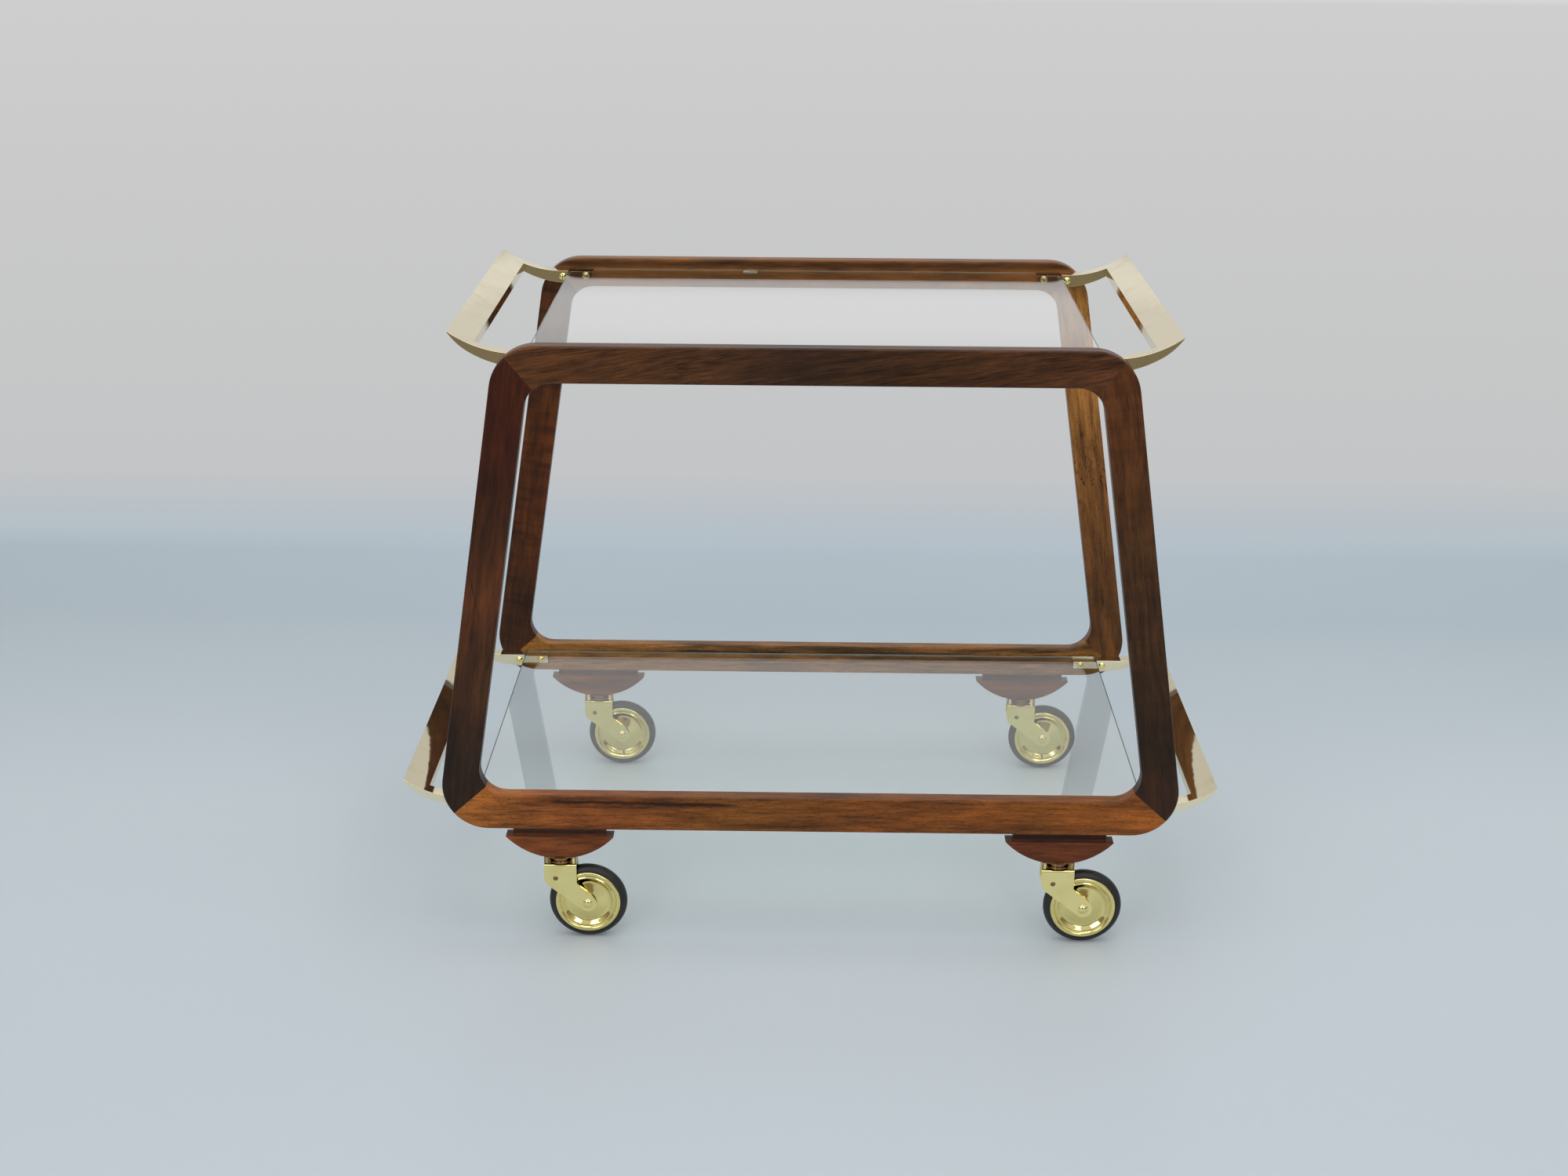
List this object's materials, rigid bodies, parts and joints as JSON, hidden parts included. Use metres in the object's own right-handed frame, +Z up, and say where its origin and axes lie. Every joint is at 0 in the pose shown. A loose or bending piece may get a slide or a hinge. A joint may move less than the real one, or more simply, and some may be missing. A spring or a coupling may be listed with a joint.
{
  "type": "bar cart",
  "caption": "Bar cart with two splayed rounded wooden frames, two glass shelves held by cast brass handles, and swivel casters.",
  "frame": {"origin": "on the floor, under the middle of the cart", "axes": "+X along the cart from the left handle to the right handle, +Y from the front frame to the back frame, +Z up"},
  "size_m": [0.7728, 0.4198, 0.5933],
  "materials": {
    "walnut_frame": "oiled satin",
    "walnut_block": "oiled satin",
    "beech_dowel": "raw",
    "clear_glass": "polished",
    "polished_brass": "polished",
    "black_rubber": "smooth satin"
  },
  "bodies": {
    "root": {"front_top_rail": "walnut_frame", "front_bottom_rail": "walnut_frame", "front_left_leg": "walnut_frame", "front_right_leg": "walnut_frame", "back_top_rail": "walnut_frame", "back_bottom_rail": "walnut_frame", "back_left_leg": "walnut_frame", "back_right_leg": "walnut_frame", "mitre_dowels": "beech_dowel", "upper_glass_shelf": "clear_glass", "lower_glass_shelf": "clear_glass", "upper_left_handle": "polished_brass", "upper_right_handle": "polished_brass", "lower_left_handle": "polished_brass", "lower_right_handle": "polished_brass", "handle_screws": "polished_brass", "glass_clip": "polished_brass", "front_left_caster_block": "walnut_block", "front_right_caster_block": "walnut_block", "back_left_caster_block": "walnut_block", "back_right_caster_block": "walnut_block", "block_dowels": "beech_dowel", "front_left_swivel_plate": "polished_brass", "front_left_swivel_race": "polished_brass", "front_left_thrust_washer": "polished_brass", "front_left_kingpin": "polished_brass", "front_right_swivel_plate": "polished_brass", "front_right_swivel_race": "polished_brass", "front_right_thrust_washer": "polished_brass", "front_right_kingpin": "polished_brass", "back_left_swivel_plate": "polished_brass", "back_left_swivel_race": "polished_brass", "back_left_thrust_washer": "polished_brass", "back_left_kingpin": "polished_brass", "back_right_swivel_plate": "polished_brass", "back_right_swivel_race": "polished_brass", "back_right_thrust_washer": "polished_brass", "back_right_kingpin": "polished_brass"},
    "front_left_swivel": {"front_left_fork": "polished_brass", "front_left_cross_pin": "polished_brass", "front_left_axle": "polished_brass"},
    "front_left_wheel": {"front_left_wheel_disc": "polished_brass", "front_left_tyre": "black_rubber"},
    "front_right_swivel": {"front_right_fork": "polished_brass", "front_right_cross_pin": "polished_brass", "front_right_axle": "polished_brass"},
    "front_right_wheel": {"front_right_wheel_disc": "polished_brass", "front_right_tyre": "black_rubber"},
    "back_left_swivel": {"back_left_fork": "polished_brass", "back_left_cross_pin": "polished_brass", "back_left_axle": "polished_brass"},
    "back_left_wheel": {"back_left_wheel_disc": "polished_brass", "back_left_tyre": "black_rubber"},
    "back_right_swivel": {"back_right_fork": "polished_brass", "back_right_cross_pin": "polished_brass", "back_right_axle": "polished_brass"},
    "back_right_wheel": {"back_right_wheel_disc": "polished_brass", "back_right_tyre": "black_rubber"}
  },
  "joints": [
    {"name": "front_left_swivel_turn", "type": "hinge", "parent": "root", "child": "front_left_swivel", "pos_m": [-0.2376, -0.1982, 0.0783], "axis": [0, 0, 1], "continuous": true},
    {"name": "front_left_wheel_roll", "type": "hinge", "parent": "front_left_swivel", "child": "front_left_wheel", "pos_m": [-0.2121, -0.1982, 0.0375], "axis": [0, 1, 0], "continuous": true},
    {"name": "front_right_swivel_turn", "type": "hinge", "parent": "root", "child": "front_right_swivel", "pos_m": [0.2376, -0.1982, 0.0783], "axis": [0, 0, 1], "continuous": true},
    {"name": "front_right_wheel_roll", "type": "hinge", "parent": "front_right_swivel", "child": "front_right_wheel", "pos_m": [0.2631, -0.1982, 0.0375], "axis": [0, 1, 0], "continuous": true},
    {"name": "back_left_swivel_turn", "type": "hinge", "parent": "root", "child": "back_left_swivel", "pos_m": [-0.2376, 0.1982, 0.0783], "axis": [0, 0, 1], "continuous": true},
    {"name": "back_left_wheel_roll", "type": "hinge", "parent": "back_left_swivel", "child": "back_left_wheel", "pos_m": [-0.2121, 0.1982, 0.0375], "axis": [0, 1, 0], "continuous": true},
    {"name": "back_right_swivel_turn", "type": "hinge", "parent": "root", "child": "back_right_swivel", "pos_m": [0.2376, 0.1982, 0.0783], "axis": [0, 0, 1], "continuous": true},
    {"name": "back_right_wheel_roll", "type": "hinge", "parent": "back_right_swivel", "child": "back_right_wheel", "pos_m": [0.2631, 0.1982, 0.0375], "axis": [0, 1, 0], "continuous": true}
  ]
}
